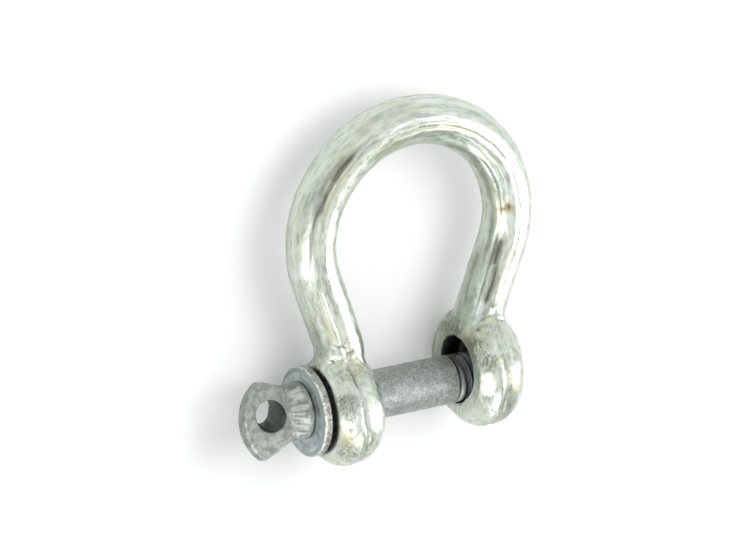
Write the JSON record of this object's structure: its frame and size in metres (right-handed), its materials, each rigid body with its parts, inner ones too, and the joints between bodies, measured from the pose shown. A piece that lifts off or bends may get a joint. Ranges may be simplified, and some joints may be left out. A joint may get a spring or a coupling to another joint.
{
  "type": "bow shackle",
  "caption": "Forged omega bow shackle with a collared screw pin: the pin screws into a tapped ear and closes the jaw, and its flat eye head takes a bar or seizing wire.",
  "frame": {"origin": "on the screw pin's axis, midway between the inner faces of the two ears", "axes": "+X along the pin from the eye head to the threaded tip, +Y from the pin to the crown of the bow, +Z square to the bow, up as the shackle lies flat"},
  "size_m": [0.0789, 0.0893, 0.03],
  "materials": {
    "bow_zinc": "bright galvanised over drop-forged steel, mottled",
    "collar_zinc": "smooth bluish zinc, satin",
    "pin_zinc": "dull grey galvanised, finely pitted"
  },
  "bodies": {
    "bow": {"bow": "bow_zinc"},
    "collar": {"pin_collar": "collar_zinc"},
    "screw_pin": {"screw_pin": "pin_zinc"}
  },
  "joints": [
    {"name": "pin_travel", "type": "slide", "parent": "bow", "child": "collar", "axis": [1, 0, 0], "range_m": [-0.05337, 0.00105]},
    {"name": "pin_turn", "type": "hinge", "parent": "collar", "child": "screw_pin", "pos_m": [0, 0, 0], "axis": [1, 0, 0], "range_deg": [-10985, 217]}
  ],
  "couplings": [
    {"joint": "pin_turn", "follows": "pin_travel", "rad_per_m": 3590.4}
  ]
}
